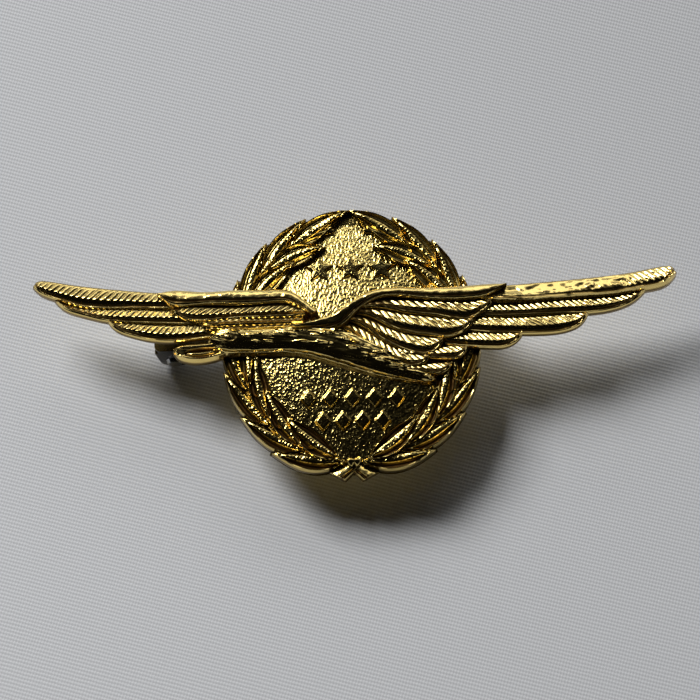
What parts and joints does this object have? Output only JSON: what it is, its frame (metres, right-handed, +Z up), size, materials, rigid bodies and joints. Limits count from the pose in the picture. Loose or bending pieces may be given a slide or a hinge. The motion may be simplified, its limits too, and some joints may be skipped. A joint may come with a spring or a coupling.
{
  "type": "pilot wings pin",
  "caption": "Gilt relief badge of a bird with spread wings over an oval laurel medallion, on a locking bar pin.",
  "frame": {"origin": "on the line of the needle, at the middle of the badge", "axes": "the badge stands as it is worn: -Y is its front, +Z is up, +X is to a reader's right and points along the needle to its tip"},
  "size_m": [0.062, 0.0085, 0.0273],
  "materials": {
    "gilt_field": "stippled gold plate",
    "gilt_relief": "polished gold plate",
    "rivet_brass": "peened and gold plated",
    "nickel": "nickel plated",
    "pin_steel": "drawn and polished",
    "solder": "soft solder, dull"
  },
  "bodies": {
    "badge": {"medallion_plate": "gilt_field", "branch_tie": "gilt_relief", "laurel_branch_left": "gilt_relief", "laurel_branch_right": "gilt_relief", "near_wing": "gilt_relief", "bird_body": "gilt_relief", "far_wing": "gilt_relief", "overlay_rivets": "rivet_brass", "bar_strip": "nickel", "hinge_bracket": "nickel", "hinge_rivet": "nickel", "catch_housing": "nickel", "solder_seams": "solder"},
    "stem": {"pin_stem": "pin_steel"},
    "sleeve": {"safety_sleeve": "nickel"}
  },
  "joints": [
    {"name": "stem_swing", "type": "hinge", "parent": "badge", "child": "stem", "pos_m": [-0.0173, 0, 0], "axis": [0, 0, 1], "range_deg": [0, 100]},
    {"name": "sleeve_turn", "type": "hinge", "parent": "badge", "child": "sleeve", "pos_m": [0.0087, 0, 0], "axis": [1, 0, 0], "range_deg": [0, 100]}
  ]
}
